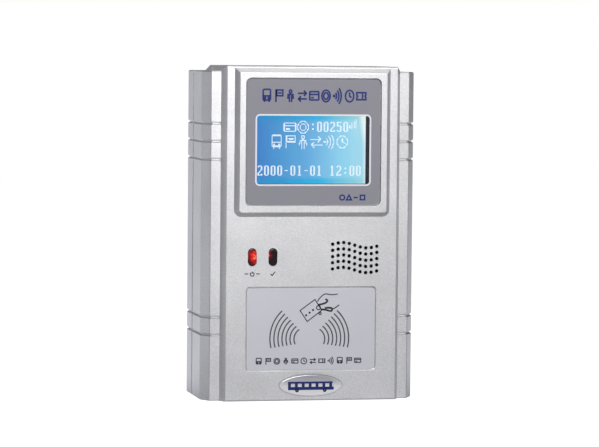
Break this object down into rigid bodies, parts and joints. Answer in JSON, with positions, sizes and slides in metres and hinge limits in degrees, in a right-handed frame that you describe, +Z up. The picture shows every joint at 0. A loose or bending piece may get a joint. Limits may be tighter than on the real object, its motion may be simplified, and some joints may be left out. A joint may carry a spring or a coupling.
{
  "type": "bus fare box",
  "caption": "Wall- or pole-mounted contactless bus fare reader: silver two-shell case, backlit display, indicator lamps, speaker grille, card area and rear service door.",
  "frame": {"origin": "centre of the flat base, midway between the display frame's front and the flat back", "axes": "+Z up, front face towards -Y, +X to the right of a person facing it"},
  "size_m": [0.132, 0.064, 0.203],
  "materials": {
    "silver_paint": "moulded ABS under satin silver paint, fine metallic grain",
    "black_rubber": "soft black rubber",
    "grey_overlay": "fine-textured printed polycarbonate",
    "clear_window": "clear polished polycarbonate",
    "black_foam": "matt black foam",
    "black_steel": "black oxide pressed steel",
    "display_cell": "blue backlit liquid crystal cell",
    "white_diffuser": "white moulded light guide",
    "green_board": "solder-masked glass epoxy",
    "zinc_steel": "bright zinc plate",
    "chip_black": "moulded epoxy",
    "red_led": "lit red resin",
    "red_led_off": "unlit red resin",
    "red_lens_lit": "translucent red acrylic, lit from behind",
    "red_lens_dark": "translucent red acrylic, unlit",
    "card_label": "fine-textured printed polycarbonate",
    "badge_chrome": "bright domed badge",
    "black_gauze": "fine woven dust gauze",
    "ferrite": "sintered ferrite",
    "paper_cone": "pressed paper pulp",
    "copper": "bare copper",
    "bright_can": "drawn bright steel can",
    "capacitor_sleeve": "shrink sleeve",
    "header_white": "moulded nylon",
    "socket_black": "moulded glass-filled nylon",
    "tray_yellow": "moulded nylon",
    "card_white": "card stock",
    "button_red": "moulded button",
    "nickel": "nickel plate",
    "brass": "turned brass",
    "lock_chrome": "polished chrome plate",
    "ribbon_grey": "flat ribbon cable",
    "lead_black": "flexible insulation"
  },
  "bodies": {
    "housing": {"antenna_board": "green_board", "antenna_coil": "copper", "badge": "badge_chrome", "battery_holder": "socket_black", "board_chips": "chip_black", "board_headers": "header_white", "board_leads": "lead_black", "buzzer": "chip_black", "capacitors": "capacitor_sleeve", "card_area_label": "card_label", "case_screws": "zinc_steel", "coin_cell": "bright_can", "crystals": "bright_can", "data_jackscrews": "nickel", "data_socket": "nickel", "data_socket_core": "socket_black", "display_lens": "clear_window", "display_ribbon": "ribbon_grey", "display_shroud": "black_foam", "door_hinge_pin": "zinc_steel", "front_shell": "silver_paint", "lcd_backlight": "white_diffuser", "lcd_bezel": "black_steel", "lcd_board": "green_board", "lcd_glass": "display_cell", "led_board": "green_board", "main_board": "green_board", "main_board_screws": "zinc_steel", "mounting_inserts": "brass", "ok_led": "red_led_off", "ok_lens": "red_lens_dark", "overlay_panel": "grey_overlay", "power_coil": "ferrite", "power_inlet": "nickel", "power_inlet_nut": "nickel", "power_inlet_pins": "brass", "power_led": "red_led", "power_lens": "red_lens_lit", "rear_shell": "silver_paint", "reset_switch": "socket_black", "sam_socket": "socket_black", "shell_gasket": "black_rubber", "small_board_screws": "zinc_steel", "speaker_basket": "zinc_steel", "speaker_gauze": "black_gauze", "speaker_magnet": "ferrite", "speaker_screws": "zinc_steel", "speaker_surround": "black_rubber", "speaker_yoke": "zinc_steel"},
    "door": {"service_door": "silver_paint", "lock_barrel": "lock_chrome", "lock_nut": "nickel"},
    "lock": {"lock_plug": "lock_chrome", "lock_cam": "zinc_steel"},
    "tray": {"sam_tray": "tray_yellow", "sam_card": "card_white"},
    "button": {"reset_button": "button_red"},
    "cone": {"speaker_cone": "paper_cone", "voice_coil": "copper"}
  },
  "joints": [
    {"name": "service_door_hinge", "type": "hinge", "parent": "housing", "child": "door", "pos_m": [-0.034, 0.03, 0.059], "axis": [0, 0, 1], "range_deg": [0, 100]},
    {"name": "door_lock_turn", "type": "hinge", "parent": "door", "child": "lock", "pos_m": [0.024, 0.031, 0.059], "axis": [0, 1, 0], "range_deg": [0, 90]},
    {"name": "sam_tray_slide", "type": "slide", "parent": "housing", "child": "tray", "axis": [1, 0, 0], "range_m": [0, 0.018]},
    {"name": "reset_button_press", "type": "slide", "parent": "housing", "child": "button", "axis": [0, -1, 0], "range_m": [0, 0.0004], "stiffness_N_per_m": 600},
    {"name": "speaker_cone_travel", "type": "slide", "parent": "housing", "child": "cone", "axis": [0, 1, 0], "range_m": [-0.0005, 0.0005], "stiffness_N_per_m": 900}
  ]
}
